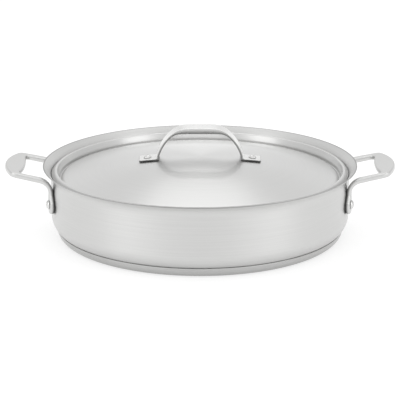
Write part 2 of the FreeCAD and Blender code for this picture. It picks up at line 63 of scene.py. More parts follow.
def rounded(corners, spacing=6.0):
    """A section in mm: straight runs between corners (r, z, radius), each corner taken by an arc that
    touches both runs. With a turn t from the way in, come, to the way out, go, the arc starts
    radius * tan(t / 2) before the corner. Runs have a point about every spacing, and arcs one about
    every 8 degrees, but not closer than finest. Points closer than same are taken as one."""
    step, finest, same = np.radians(8), 0.12, 0.005
    fewest, most = 4, 24
    spots = np.array(corners, float)
    ways = np.diff(spots[:, :2], axis=0)
    ways /= np.linalg.norm(ways, axis=1)[:, None]
    section, last = [], spots[0, :2]
    for spot, come, go in zip(spots[1:-1], ways[:-1], ways[1:]):
        turn = np.arctan2(come[0] * go[1] - come[1] * go[0], come @ go)
        reach, arc = spot[2] * np.tan(abs(turn) / 2), spot[2] * abs(turn)
        start = spot[:2] - come * reach
        inward = np.sign(turn) * np.array((-come[1], come[0]))
        pieces = np.ceil(max(min(abs(turn) / step, arc / finest), arc / spacing, 2))
        part = np.linspace(0, abs(turn), int(pieces) + 1)[:, None]
        bend = start + spot[2] * (inward * (1 - np.cos(part)) + come * np.sin(part))
        count = int(np.clip(np.linalg.norm(start - last) / spacing, fewest, most)) + 1
        section += [straight(last, start, count), bend]
        last = spot[:2] + go * reach
    count = int(np.clip(np.linalg.norm(spots[-1, :2] - last) / spacing, fewest, most)) + 1
    section = np.vstack(section + [straight(last, spots[-1, :2], count)])
    apart = np.linalg.norm(np.diff(section, axis=0), axis=1) > same
    return section[np.append(True, apart)]


def sheet_corners(face, sheet, cut, bends, other_bends):
    """Corners (r, z, radius) round a sheet, from one face's corners (r, z), which run from the axis to the
    edge. The other face lies to their right: each run moves square to itself by the sheet's thickness,
    and each corner goes where its two moved runs meet. The first corner slides down the axis and the
    last one along the cut of the edge. The bends are the radius at each corner of the two faces, and
    all is given to a thousandth of a mm."""
    decimals = 3
    face = np.array(face, float)
    ways = np.diff(face, axis=0)
    ways /= np.linalg.norm(ways, axis=1)[:, None]
    right = np.column_stack((ways[:, 1], -ways[:, 0]))
    moves = np.vstack(((0, -1), right[:-1] + right[1:], cut))
    moves /= np.sum(moves * np.vstack((right, right[-1:])), axis=1)[:, None]
    other = np.column_stack((face + sheet * moves, other_bends))
    return np.vstack((np.column_stack((face, bends)), other[::-1])).round(decimals)


def skin(name, points, faces, unshaded, grain=None):
    """A closed mesh from points in mm and faces, with its faces turned outwards and shaded smooth. Each
    point carries a number for painted shade: 1 where it keeps its own colour and 0 where the dark colour
    of painted shade takes it over. On turned pieces it carries grain too: its way across the brushing in
    mm and two numbers that change along it."""
    mesh = bpy.data.meshes.new(name)
    mesh.from_pydata(points * MM, [], faces)
    if grain is not None:
        mesh.attributes.new("grain", "FLOAT_VECTOR", "POINT").data.foreach_set("vector", grain.ravel())
    mesh.attributes.new("unshaded", "FLOAT", "POINT").data.foreach_set("value", unshaded.ravel())
    shell = bmesh.new()
    shell.from_mesh(mesh)
    bmesh.ops.recalc_face_normals(shell, faces=shell.faces)
    shell.to_mesh(mesh)
    shell.free()
    mesh.shade_smooth()
    piece = bpy.data.objects.new(name, mesh)
    bpy.context.scene.collection.objects.link(piece)
    return piece


def turned(name, section, unshaded, around=480, place=np.eye(4)):
    """A surface of revolution: (r, z) of a section carried round Z by u, as (r cos u, r sin u, z), and
    then moved by a placing matrix. The section starts and ends on the axis, in one point each. The painted
    shade has a number for each point of the section: the share of its own colour that the point keeps."""
    u = np.linspace(0, 2 * np.pi, around, endpoint=False)
    ring = np.column_stack((np.cos(u), np.sin(u)))
    r, z = section[1:-1, 0], section[1:-1, 1]
    body = np.dstack((np.outer(r, ring[:, 0]), np.outer(r, ring[:, 1]), np.tile(z[:, None], around)))
    points = np.vstack((body.reshape(-1, 3), [[0, 0, section[0, 1]], [0, 0, section[-1, 1]]]))
    length = np.append(0, np.cumsum(np.linalg.norm(np.diff(section, axis=0), axis=1)))
    across = np.repeat(length[1:-1, None], around, axis=1)
    grain = np.dstack((across, np.tile(ring[:, 0], (len(r), 1)), np.tile(ring[:, 1], (len(r), 1))))
    grain = np.vstack((grain.reshape(-1, 3), [[0, 0, 0], [length[-1], 0, 0]]))
    index = np.arange(len(r) * around).reshape(len(r), around)
    right = np.roll(index, -1, axis=1)
    quads = np.stack((index[:-1], index[1:], right[1:], right[:-1]), axis=2).reshape(-1, 4).tolist()
    first, final = len(r) * around, len(r) * around + 1
    caps = np.column_stack((np.full(around, first), index[0], right[0])).tolist()
    caps += np.column_stack((np.full(around, final), right[-1], index[-1])).tolist()
    unshaded = np.append(np.repeat(unshaded[1:-1], around), unshaded[[0, -1]])
    return skin(name, points @ place[:3, :3].T + place[:3, 3], quads + caps, unshaded, grain)


def colour(code):
    """An sRGB hex colour as linear RGBA, by the curve of the sRGB standard."""
    channel = np.array([int(code[place:place + 2], 16) for place in (1, 3, 5)]) / 255
    linear = np.where(channel <= 0.04045, channel / 12.92, ((channel + 0.055) / 1.055) ** 2.4)
    return (*linear, 1)


def add(tree, kind, inputs, **settings):
    """Add a node: settings are its properties, and each input gets a value or a link from an output."""
    made = tree.nodes.new(kind)
    for name, setting in settings.items():
        setattr(made, name, setting)
    for name, given in inputs.items():
        if isinstance(given, bpy.types.NodeSocket):
            tree.links.new(given, made.inputs[name])
        else:
            made.inputs[name].default_value = given
    return made


def brushed_steel(name, light, dark, painted_shade, roughness, spread, gloss=0.0):
    """Stainless steel brushed in circles: grit lines run round the axis, so highlights spread across
    them into fans and bands. Real lines are about 0.1 mm apart and are drawn coarser, so that they show.
    Where a point's number is below 1, in corners and on cut edges, its colour turns towards the dark
    colour given: painted shade. gloss is the clear reflection that a last pass with a fine wheel leaves
    over the lines."""
    line_pitch, streak_pitch, line_turns, line_depth = 0.35, 1.1, 1.6, 0.02
    darkest, lightest, smoothest, roughest, rough_change = 0.6, 1.4, 0.3, 0.7, 0.03
    line_strength, gloss_roughness, across_lines = 0.06, 0.08, 0.25
    material = bpy.data.materials.new(name)
    material.use_nodes = True
    tree = material.node_tree
    tree.nodes.clear()
    grain = add(tree, "ShaderNodeAttribute", {}, attribute_name="grain").outputs["Vector"]
    grit = add(tree, "ShaderNodeMapping", {
        "Vector": grain, "Scale": (1 / line_pitch, line_turns, line_turns)})
    fine = add(tree, "ShaderNodeTexNoise", {"Vector": grit.outputs[0], "Scale": 1, "Detail": 2})
    bands = add(tree, "ShaderNodeMapping", {
        "Vector": grain, "Scale": (1 / streak_pitch, line_turns, line_turns)})
    broad = add(tree, "ShaderNodeTexNoise", {"Vector": bands.outputs[0], "Scale": 1, "Detail": 3})
    both = add(tree, "ShaderNodeMath", {0: fine.outputs[0], 1: broad.outputs[0]}, operation="ADD")
    tone = add(tree, "ShaderNodeMapRange", {
        "Value": both.outputs[0], "From Min": darkest, "From Max": lightest})
    shade = add(tree, "ShaderNodeMix", {
        0: tone.outputs[0], 6: colour(dark), 7: colour(light)}, data_type="RGBA")
    # Painted shade: each point's number mixes the steel's colour towards the dark colour.
    unshaded = add(tree, "ShaderNodeAttribute", {}, attribute_name="unshaded").outputs["Fac"]
    shade = add(tree, "ShaderNodeMix", {
        0: unshaded, 6: colour(painted_shade), 7: shade.outputs[2]}, data_type="RGBA")
    rough = add(tree, "ShaderNodeMapRange", {
        "Value": broad.outputs[0], "From Min": smoothest, "From Max": roughest,
        "To Min": roughness - rough_change, "To Max": roughness + rough_change})
    bump = add(tree, "ShaderNodeBump", {
        "Height": both.outputs[0], "Strength": line_strength, "Distance": line_depth * MM})
    tangent = add(tree, "ShaderNodeTangent", {}, direction_type="RADIAL", axis="Z")
    steel = add(tree, "ShaderNodeBsdfPrincipled", {
        "Base Color": shade.outputs[2], "Metallic": 1.0, "Roughness": rough.outputs[0],
        "Anisotropic": spread, "Anisotropic Rotation": across_lines, "Coat Weight": gloss,
        "Coat Roughness": gloss_roughness, "Tangent": tangent.outputs[0], "Normal": bump.outputs[0]})
    add(tree, "ShaderNodeOutputMaterial", {"Surface": steel.outputs[0]})
    return material


rim_inside = RIM_RADIUS - PAN_SHEET / np.sin(FLARE_SLOPE)
flare_start = RIM_HEIGHT - (rim_inside - PAN_INSIDE) * np.tan(FLARE_SLOPE)
pan_face = [(0, PAN_FLOOR), (PAN_INSIDE, PAN_FLOOR), (PAN_INSIDE, flare_start), (rim_inside, RIM_HEIGHT)]
pan_section = rounded(sheet_corners(pan_face, PAN_SHEET, LEVEL_CUT, PAN_BENDS_IN, PAN_BENDS_OUT))
pan_r, pan_z = pan_section.T
# Painted shade: darker towards the floor on the lower bend, and dark at the rim's cut and outer lip.
low_bend = np.interp(pan_z, (BEND_FLOOR, BEND_TOP), (BEND_UNSHADED, 1))
low_bend[pan_r < FLOOR_REACH] = 1
outside = np.arange(len(pan_section)) > np.argmax(pan_r)
at_rim = (pan_z > RIM_CUT) | outside & (pan_z > RIM_BAND)
pan = turned("pan", pan_section, np.where(at_rim, RIM_UNSHADED, low_bend))
pan.data.materials.append(brushed_steel(
    "brushed_stainless_wall", STEEL_LIGHT, STEEL_DARK, STEEL_PAINTED_SHADE, PAN_ROUGHNESS, PAN_SPREAD))
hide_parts("pan_body")
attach(pan, "pan")

# Base core: a disc of rolled aluminium, 4.9 mm thick, that spreads the heat. It is pressed flat
# between the pan's floor and the base cap, which hide it.
ALUMINIUM = "#d3d5d8"
ROLL_LINE, ROLL_STREAK, ROLL_SMOOTH, ROLL_ROUGH = 0.6, 50, 0.3, 0.5

# Rolled aluminium has a soft grey shine, with fine streaks along the way it went through the rolls.
core_finish = bpy.data.materials.new("rolled_aluminium")
core_finish.use_nodes = True
tree = core_finish.node_tree
tree.nodes.clear()
place = add(tree, "ShaderNodeTexCoord", {}).outputs["Object"]
along_roll, across_roll = 1 / (ROLL_STREAK * MM), 1 / (ROLL_LINE * MM)
rolled = add(tree, "ShaderNodeMapping", {
    "Vector": place, "Scale": (along_roll, across_roll, along_roll)})
streaks = add(tree, "ShaderNodeTexNoise", {"Vector": rolled.outputs[0], "Scale": 1, "Detail": 2})
rough = add(tree, "ShaderNodeMapRange", {
    "Value": streaks.outputs[0], "To Min": ROLL_SMOOTH, "To Max": ROLL_ROUGH})
metal = add(tree, "ShaderNodeBsdfPrincipled", {
    "Base Color": colour(ALUMINIUM), "Metallic": 1.0, "Roughness": rough.outputs[0]})
add(tree, "ShaderNodeOutputMaterial", {"Surface": metal.outputs[0]})
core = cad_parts["base_core"]
core.data.materials.clear()
core.data.materials.append(core_finish)

# Base cap: a shallow cup of 0.8 mm stainless steel, pressed over the core. Its lip ends in a fine seam
# under the bend of the pan's wall, and its face is brushed in circles too. Its colour is set darker than
# the wall's and darkens further towards the bottom: painted shade for the shadowed floor that it mirrors.
CAP_SHEET, CAP_INSIDE, CAP_HEIGHT = 0.8, 144.6, 9.67
CAP_BENDS_IN, CAP_BENDS_OUT = (0, 8.2, 0.1), (0, 9, 0.35)
# The cap's colours are set darker than the wall's: painted shade for the shadowed floor that the cap
# mirrors.
CAP_LIGHT = "#c3c3c2"
CAP_DARK = "#b6b6b5"
CAP_PAINTED_SHADE = "#8a8a89"
CAP_ROUGHNESS, CAP_SPREAD = 0.36, 0.7
CAP_BEND, CAP_SIDE, CAP_UNSHADED = 1.5, 7, 0.65
cap_face = [(0, CAP_SHEET), (CAP_INSIDE, CAP_SHEET), (CAP_INSIDE, CAP_HEIGHT)]
cap_section = rounded(sheet_corners(cap_face, CAP_SHEET, LEVEL_CUT, CAP_BENDS_IN, CAP_BENDS_OUT))
# Painted shade: darker towards the bottom of the cap.
cap_unshaded = np.interp(cap_section[:, 1], (CAP_BEND, CAP_SIDE), (CAP_UNSHADED, 1))
cap = turned("base_cup", cap_section, cap_unshaded)
cap.data.materials.append(brushed_steel(
    "brushed_stainless_base", CAP_LIGHT, CAP_DARK, CAP_PAINTED_SHADE, CAP_ROUGHNESS, CAP_SPREAD))
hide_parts("base_cap")
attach(cap, "pan")

# Side handles: cast stainless straps, 4.2 mm thick at the feet and 4.9 mm in the arms. Each has two
# spade-shaped feet on the wall, two arms that bend outwards under the rim, and a broad grip across their
# ends. All edges are soft. The side that faces the wall and its edge are painted dark up to the bend:
# painted shade for the shadow and dark reflection where the feet meet the wall.
STRAP_HALF, STRAP_EDGE, ARM_DEEPER, DEEPEN_RUN = 2.1, 1.4, 0.717, 2
FOOT_MIDDLE, FOOT_HALF, FOOT_LOW, FOOT_ROUND_TOP = 38.5, 8.3, 31.0, 39.3
TAPER_START, TAPER_END = 43.0, 51.15
ARM_IN, ARM_OUT, ARM_OUT_TURN = 34.0, 42.3, 155.2
BEND_RADIUS, BEND_CENTRE, BEND_LOW, ARM_RISE = 13.6, 166.7, 52.65, 12.5
GRIP_REACH, GRIP_END, GRIP_ROUND, GRIP_HALF = 196.8, 84.0, 9.0, 40.2
FINGER_EDGE, FINGER_BOW, FINGER_ROUND = 181.2, 3.6, 5.0
HANDLE_LIGHT = "#d8d8d7"
HANDLE_DARK = "#cececd"
# The dark colour of painted shade on the handles.
HANDLE_PAINTED_SHADE = "#6c6c6b"
HANDLE_ROUGHNESS = 0.33
BEND_START = BEND_LOW - FOOT_LOW
BEND_SWEEP = np.radians(90 - ARM_RISE)
BEND_FINISH = BEND_START + BEND_RADIUS * BEND_SWEEP
ARM_ROOT = BEND_CENTRE - BEND_RADIUS * np.cos(BEND_SWEEP)


def strap(name, edge, facing, half, place, soft, unshaded):
    """A strap with soft edges, from two edge lines in its flat pattern, paired point by point. With rungs
    between them they make a grid, whose rim is one closed loop. Rings of that loop, set in by
    soft * (1 - sin q) and lowered by soft * (1 - cos q), take the edge from one face to the other.
    place(across, along, rise) bends the flat pattern, half(along) is half the thickness, and the last
    function, of along and lift, gives the share of its own colour kept against painted shade, at a lift
    from -1, the lower face, to 1, the upper."""
    count, rungs, margin, quarter = len(edge), 7, 1.5, np.linspace(0, np.pi / 2, 6)
    share = np.linspace(0, 1, rungs + 2)[1:-1, None]
    finish = (1 - share) * edge[-1] + share * facing[-1]
    start = share * edge[0] + (1 - share) * facing[0]
    loop = np.vstack((edge, finish, facing[::-1], start))
    ahead, behind = np.roll(loop, -1, axis=0) - loop, loop - np.roll(loop, 1, axis=0)
    ahead, behind = (step / np.linalg.norm(step, axis=1)[:, None] for step in (ahead, behind))
    way = ahead + behind
    way /= np.linalg.norm(way, axis=1)[:, None]
    area = np.sum(loop[:, 0] * np.roll(loop[:, 1], -1) - loop[:, 1] * np.roll(loop[:, 0], -1))
    inward = np.sign(area) * np.column_stack((-way[:, 1], way[:, 0]))
    inset = np.append(margin * soft, soft * (1 - np.sin(quarter)))
    depth = np.append(0, soft * (1 - np.cos(quarter)))
    flat = loop + inset[:, None, None] * inward
    near, far = flat[0, :count], flat[0, count + rungs:2 * count + rungs][::-1]
    face = (1 - share[:, None]) * near[1:-1] + share[:, None] * far[1:-1]
    ring = np.arange(flat[..., 0].size).reshape(flat.shape[:2])
    grid = np.empty((rungs + 2, count), int)
    grid[0], grid[-1] = ring[0, :count], ring[0, count + rungs:2 * count + rungs][::-1]
    grid[1:-1, -1], grid[1:-1, 0] = ring[0, count:count + rungs], ring[0, 2 * count + rungs:][::-1]
    grid[1:-1, 1:-1] = ring.size + np.arange(face[..., 0].size).reshape(face.shape[:2])
    turn = np.roll(ring, -1, axis=1)
    sides = np.stack((ring[:-1], ring[1:], turn[1:], turn[:-1]), axis=2).reshape(-1, 4)
    sheet = np.stack((grid[:-1, :-1], grid[1:, :-1], grid[1:, 1:], grid[:-1, 1:]), axis=2)
    one = np.vstack((sides, sheet.reshape(-1, 4)))
    other = ring.size + face[..., 0].size
    band = np.column_stack((ring[-1], other + ring[-1], other + turn[-1], turn[-1]))
    rim, middle = 1 - depth[:, None] / half(flat[..., 1]), np.ones(face.shape[:2])
    sheets = [(flat, rim), (face, middle), (flat, -rim), (face, -middle)]
    points = np.vstack([
        place(spot[..., 0], spot[..., 1], lift * half(spot[..., 1])).reshape(-1, 3)
        for spot, lift in sheets])
    # Each point's share of its own colour against painted shade.
    finish = np.concatenate([unshaded(spot[..., 1], lift).ravel() for spot, lift in sheets])
    return skin(name, points, np.vstack((one, one + other, band)).tolist(), finish)


def along_strap(x, y):
    """How far along the bent strap a place seen from above lies: past the bend it rises in a line."""
    return BEND_FINISH + (np.hypot(x, y) - ARM_ROOT) / np.cos(np.radians(ARM_RISE))


def bent_strap(across, along, rise):
    """The flat strap bent up: a wall, an arc about the bend's centre and a rising line, each moved out by
    rise along its own normal, and then wrapped round the pan as x = sqrt(r^2 - y^2). From the bend on,
    the under side hangs a little deeper."""
    swing = np.clip((along - BEND_START) / BEND_RADIUS, 0, BEND_SWEEP)
    up = np.minimum(along, BEND_START)
    out = np.maximum(along - BEND_FINISH, 0)
    slope = np.radians(ARM_RISE)
    radius = BEND_CENTRE - (BEND_RADIUS + rise) * np.cos(swing) + out * np.cos(slope)
    height = FOOT_LOW + up + (BEND_RADIUS + rise) * np.sin(swing) + out * np.sin(slope)
    deeper = np.clip((along - BEND_START) / DEEPEN_RUN + 1, 0, 1)
    height -= ARM_DEEPER * (0.5 - rise / (2 * STRAP_HALF)) * deeper
    return np.stack((np.sqrt(radius ** 2 - across ** 2), across, height), axis=-1)


def lines(*runs):
    """Join runs of points, dropping each run's first point where it repeats the last one."""
    return np.vstack([runs[0]] + [run[1:] for run in runs[1:]])


def bow(middle, radius, begin, finish, count=14):
    """Points on an arc: middle + radius (cos q, sin q), q in degrees."""
    q = np.radians(np.linspace(begin, finish, count))
    return np.column_stack((middle[0] + radius * np.cos(q), middle[1] + radius * np.sin(q)))


def handle_edges():
    """The outer and inner edge of half a handle, from the tip of a foot to the middle of the grip, as
    places (across, along) in the flat strap. The grip's rounds are worked out as seen from above: each
    touches the straight arm and the arc of the grip's end."""
    few, many, tip = 5, 16, 2
    foot_mid = (FOOT_MIDDLE, FOOT_ROUND_TOP - FOOT_LOW)
    taper = (TAPER_START - FOOT_LOW, TAPER_END - FOOT_LOW)
    end_mid = GRIP_REACH - GRIP_END
    corner = np.array((end_mid + np.sqrt(GRIP_END ** 2 - GRIP_HALF ** 2), GRIP_HALF))
    turn = np.array((ARM_OUT_TURN, ARM_OUT))
    way = (corner - turn) / np.linalg.norm(corner - turn)
    near = turn + GRIP_ROUND * np.array((way[1], -way[0])) - (end_mid, 0)
    reach = -near @ way + np.sqrt((near @ way) ** 2 - near @ near + (GRIP_END - GRIP_ROUND) ** 2)
    round_mid = near + reach * way
    lean = np.degrees(np.arctan2(-way[0], way[1])) + 180
    point_out = np.degrees(np.arctan2(round_mid[1], round_mid[0]))
    round_out = bow(round_mid + (end_mid, 0), GRIP_ROUND, lean, point_out)
    end_out = bow((end_mid, 0), GRIP_END, point_out, 0, many)
    turn_in = BEND_CENTRE - np.hypot(ARM_OUT_TURN, ARM_OUT)
    arm_turn = BEND_START + BEND_RADIUS * np.arccos(turn_in / BEND_RADIUS)
    plan_out = np.vstack((round_out, end_out[1:]))
    grip_out = np.column_stack((plan_out[:, 1], along_strap(plan_out[:, 0], plan_out[:, 1])))
    foot_out, foot_in = FOOT_MIDDLE + FOOT_HALF, FOOT_MIDDLE - FOOT_HALF
    outer = lines(
        bow(foot_mid, FOOT_HALF, -90 + tip, 0),
        straight((foot_out, foot_mid[1]), (foot_out, taper[0]), few),
        straight((foot_out, taper[0]), (ARM_OUT, taper[1])),
        straight((ARM_OUT, taper[1]), (ARM_OUT, arm_turn), many),
        straight((ARM_OUT, arm_turn), grip_out[0]), grip_out)
    bow_radius = (ARM_IN ** 2 + FINGER_BOW ** 2) / (2 * FINGER_BOW)
    bow_mid = FINGER_EDGE - FINGER_BOW + bow_radius
    finger_y = ARM_IN - FINGER_ROUND
    finger_x = bow_mid - np.sqrt((bow_radius + FINGER_ROUND) ** 2 - finger_y ** 2)
    point_in = np.degrees(np.arctan2(-finger_y, bow_mid - finger_x))
    round_in = bow((finger_x, finger_y), FINGER_ROUND, 90, point_in)
    end_in = bow((bow_mid, 0), bow_radius, 180 + point_in, 180, many)
    plan_in = np.vstack((round_in, end_in[1:]))
    grip_in = np.column_stack((plan_in[:, 1], along_strap(plan_in[:, 0], plan_in[:, 1])))
    inner = lines(
        bow(foot_mid, FOOT_HALF, -90 - tip, -180),
        straight((foot_in, foot_mid[1]), (foot_in, taper[0]), few),
        straight((foot_in, taper[0]), (ARM_IN, taper[1])),
        straight((ARM_IN, taper[1]), (ARM_IN, arm_turn), many),
        straight((ARM_IN, arm_turn), grip_in[0]), grip_in)
    return outer, inner


def handle_unshaded(along, lift):
    """Painted shade on the side that faces the wall and round its edge, up to the bend, for the shadow
    where the feet meet the wall; its own colour elsewhere.
    """
    edge, face, fade_in, fade_out = -0.35, 0.3, 3, 2
    towards_wall = np.interp(lift, (edge, face), (0, 1))
    low = np.interp(along, (BEND_START + fade_in, BEND_FINISH - fade_out), (1, 0))
    return 1 - towards_wall * low


def satin_steel(name, light, dark, painted_shade, roughness):
    """Cast stainless steel, polished to satin on a soft wheel: a soft even shine with faint clouds a few
    millimetres wide and a fine pebble of about 0.4 mm left from the casting. Where a point's number is
    below 1, its colour turns towards the dark colour given: painted shade."""
    cloud, pebble, pebble_depth, pebble_strength = 7.0, 0.45, 0.02, 0.1
    smoothest, roughest, rough_change = 0.3, 0.7, 0.05
    material = bpy.data.materials.new(name)
    material.use_nodes = True
    tree = material.node_tree
    tree.nodes.clear()
    spot = add(tree, "ShaderNodeTexCoord", {}).outputs["Object"]
    clouds = add(tree, "ShaderNodeTexNoise", {"Vector": spot, "Scale": 1 / (cloud * MM), "Detail": 3})
    pebbles = add(tree, "ShaderNodeTexNoise", {"Vector": spot, "Scale": 1 / (pebble * MM), "Detail": 1})
    shade = add(tree, "ShaderNodeMix", {
        0: clouds.outputs[0], 6: colour(dark), 7: colour(light)}, data_type="RGBA")
    # Painted shade: each point's number mixes the steel's colour towards the dark colour.
    unshaded = add(tree, "ShaderNodeAttribute", {}, attribute_name="unshaded").outputs["Fac"]
    shade = add(tree, "ShaderNodeMix", {
        0: unshaded, 6: colour(painted_shade), 7: shade.outputs[2]}, data_type="RGBA")
    rough = add(tree, "ShaderNodeMapRange", {
        "Value": clouds.outputs[0], "From Min": smoothest, "From Max": roughest,
        "To Min": roughness - rough_change, "To Max": roughness + rough_change})
    bump = add(tree, "ShaderNodeBump", {
        "Height": pebbles.outputs[0], "Strength": pebble_strength, "Distance": pebble_depth * MM})
    steel = add(tree, "ShaderNodeBsdfPrincipled", {
        "Base Color": shade.outputs[2], "Metallic": 1.0, "Roughness": rough.outputs[0],
        "Normal": bump.outputs[0]})
    add(tree, "ShaderNodeOutputMaterial", {"Surface": steel.outputs[0]})
    return material


outer_half, inner_half = handle_edges()
outer_edge = np.vstack((outer_half, outer_half[-2::-1] * (-1, 1)))
inner_edge = np.vstack((inner_half, inner_half[-2::-1] * (-1, 1)))
cast_finish = satin_steel(
    "satin_cast_stainless", HANDLE_LIGHT, HANDLE_DARK, HANDLE_PAINTED_SHADE, HANDLE_ROUGHNESS)
for side, sign in (("right", 1), ("left", -1)):
    grip = strap(
        f"{side}_grip", outer_edge, inner_edge, lambda along: np.full_like(along, STRAP_HALF),
        lambda across, along, rise: bent_strap(across, along, rise) * (sign, sign, 1), STRAP_EDGE,
        handle_unshaded)
    grip.data.materials.append(cast_finish)
    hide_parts(f"{side}_handle")
    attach(grip, "pan")

# Side rivets: four stainless rivets through the feet and the wall. Their domed heads are set with a
# punch, which leaves a small hollow in the middle, and the heads inside the pan are flat.
RIVET_CORNERS = [
    (0, -1.35, 0), (2.75, -1.35, 0.3), (5.5, -0.15, 0.1), (3, -0.15, 0), (3, 5.35, 0), (4.8, 5.35, 0.1),
    (3.713, 7.542, 3.6), (1.3, 7.95, 0.25), (0, 7.25, 0),
]
RIVET_HEIGHT, FOOT_FACE = 40.4, 155.2
RIVET_ANGLE = np.degrees(np.arcsin(FOOT_MIDDLE / FOOT_FACE))
RIVET_HOLLOW, RIVET_EDGE, RIVET_SPACING, RIVET_AROUND = 1.2, 5.6, 1.5, 48
# Painted shade on the rivets: the punched hollow and all below the head's edge take part of the dark
# colour.
HOLLOW_UNSHADED, SHANK_UNSHADED, RIVET_ROUGHNESS = 0.3, 0.4, 0.24
RIVET_LIGHT = "#e2e2e1"
RIVET_DARK = "#d6d6d5"
RIVET_PAINTED_SHADE = "#7c7c7b"
rivet_finish = satin_steel(
    "polished_stainless_rivet", RIVET_LIGHT, RIVET_DARK, RIVET_PAINTED_SHADE, RIVET_ROUGHNESS)


def rivet_unshaded(section, hollow, edge):
    """Own colour on the dome, and painted shade in the punched hollow and everywhere below the head's
    edge, for the shadow in the hollow and under the head.
    """
    head = section[:, 1] > edge
    in_hollow = head & (section[:, 0] < hollow)
    return np.where(in_hollow, HOLLOW_UNSHADED, np.where(head, 1, SHANK_UNSHADED))


rivet_section = rounded(RIVET_CORNERS, RIVET_SPACING)
head_unshaded = rivet_unshaded(rivet_section, RIVET_HOLLOW, RIVET_EDGE)
for name, angle in (
        ("right_handle_front_rivet", -RIVET_ANGLE), ("right_handle_rear_rivet", RIVET_ANGLE),
        ("left_handle_front_rivet", 180 + RIVET_ANGLE), ("left_handle_rear_rivet", 180 - RIVET_ANGLE)):
    out_x, out_y = np.cos(np.radians(angle)), np.sin(np.radians(angle))
    facing = np.array((
        (0, -out_y, out_x, PAN_INSIDE * out_x), (0, out_x, out_y, PAN_INSIDE * out_y),
        (-1, 0, 0, RIVET_HEIGHT), (0, 0, 0, 1)))
    rivet = turned(f"{name}_head", rivet_section, head_unshaded, RIVET_AROUND, facing)
    rivet.data.materials.append(rivet_finish)
    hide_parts(name)
    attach(rivet, "pan")

# Lid: a low dome with a pressed channel and a turned-down flange, spun from 0.75 mm stainless steel.
# The flange slopes as the pan's flare does and sits in it, and the dome is brushed in circles.
LID_SHEET, DOME_RADIUS, DOME_TOP, DOME_SLOPE = 0.75, 555.0, 79.506, np.radians(14.2596)
SHOULDER, CHANNEL_WALL, CHANNEL_LOW = 139.035, 142.0, 57.07
BEAD_LOW, BEAD_IN, BEAD_TOP = 63.0, 144.44, 69.1
LID_EDGE, LID_EDGE_TOP, UPRIGHT_CUT = 150.116, 65.576, (0, -1)
LID_BENDS_OVER = (0, 555, 6, 0.9, 3, 1.5, 1.6, 0.1)
LID_BENDS_UNDER = (0, 554.25, 5.25, 1.6, 2.2, 0.6, 0.6, 0.1)
DOME_CENTRE = DOME_TOP - DOME_RADIUS
# Painted shade on the lid: the channel darkens a little towards its bottom, for the shade in it, and the
# flange outside the bead takes most of the dark colour, for the shadowed gap between it and the pan's
# flare.
CHANNEL_START, CHANNEL_DARKEST, CHANNEL_LIP, CHANNEL_UNSHADED = 139.6, 61.0, 65.0, 0.75
FLANGE_START, FLANGE_DARKEST, FLANGE_UNSHADED = 146.8, 147.8, 0.3
LID_ROUGHNESS, LID_SPREAD, LID_GLOSS = 0.36, 0.8, 0.8
dome_corner = DOME_RADIUS * np.tan(DOME_SLOPE / 2)
shoulder_top = DOME_TOP - (SHOULDER - dome_corner) * np.tan(DOME_SLOPE)
bead_out = LID_EDGE - (BEAD_TOP - LID_EDGE_TOP) / np.tan(FLARE_SLOPE)
lid_face = [
    (0, DOME_TOP), (dome_corner, DOME_TOP), (SHOULDER, shoulder_top), (CHANNEL_WALL, CHANNEL_LOW),
    (CHANNEL_WALL, BEAD_LOW), (BEAD_IN, BEAD_TOP), (bead_out, BEAD_TOP), (LID_EDGE, LID_EDGE_TOP),
]
lid_corners = sheet_corners(lid_face, LID_SHEET, UPRIGHT_CUT, LID_BENDS_OVER, LID_BENDS_UNDER)
lid_section = rounded(lid_corners[::-1])
lid_r, lid_z = lid_section.T
# Painted shade in the channel and on the flange.
lid_unshaded = np.interp(lid_r, (FLANGE_START, FLANGE_DARKEST), (1, FLANGE_UNSHADED))
in_channel = (lid_r > CHANNEL_START) & (lid_r <= FLANGE_START) & (lid_z < CHANNEL_LIP)
lid_unshaded[in_channel] = np.interp(
    lid_z[in_channel], (CHANNEL_DARKEST, CHANNEL_LIP), (CHANNEL_UNSHADED, 1))
lid = turned("lid_dome", lid_section, lid_unshaded)
lid.data.materials.append(brushed_steel(
    "brushed_stainless_lid", STEEL_LIGHT, STEEL_DARK, STEEL_PAINTED_SHADE, LID_ROUGHNESS, LID_SPREAD, LID_GLOSS))
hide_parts("lid")
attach(lid, "lid")

# Lid handle: an arched cast strap, 20.4 mm wide, thick on top and thin in its legs. Its two feet lie
# on the dome, with one rivet in each, and all its edges are soft.
ARCH_HALF_WIDTH, ARCH_EDGE, TOE_ROUND, TOE_GAP = 10.2, 0.6, 2.2, 0.2
ARCH_TOP, ARCH_UNDER, ARCH_BEND, TOP_BLEND = 111.306, 105.506, (0.3, 70.5), 1.6
ROUND_OUT, ROUND_IN, ROUND_END, LEG_LEAN = 44.7, 42.4, 16.0, 3.0
LEG_IN, LEG_OUT, LID_FOOT_END, ROOT_ROUND = 41.2, 43.5, 61.4, 2.2
FOOT_UNDER_RADIUS, FOOT_OVER_RADIUS = 555.1, 556.8
ARCH_LIGHT = "#f4f4f3"
ARCH_DARK = "#ebebea"
ARCH_ROUGHNESS = 0.3
BEND_POINTS, LEG_POINTS, HEEL_POINTS, FOOT_POINTS = 64, 6, 9, 12


def on_circle(x, radius):
    """Places at x on a circle about the dome's centre."""
    return np.stack((x, DOME_CENTRE + np.sqrt(radius ** 2 - x ** 2)), axis=-1)


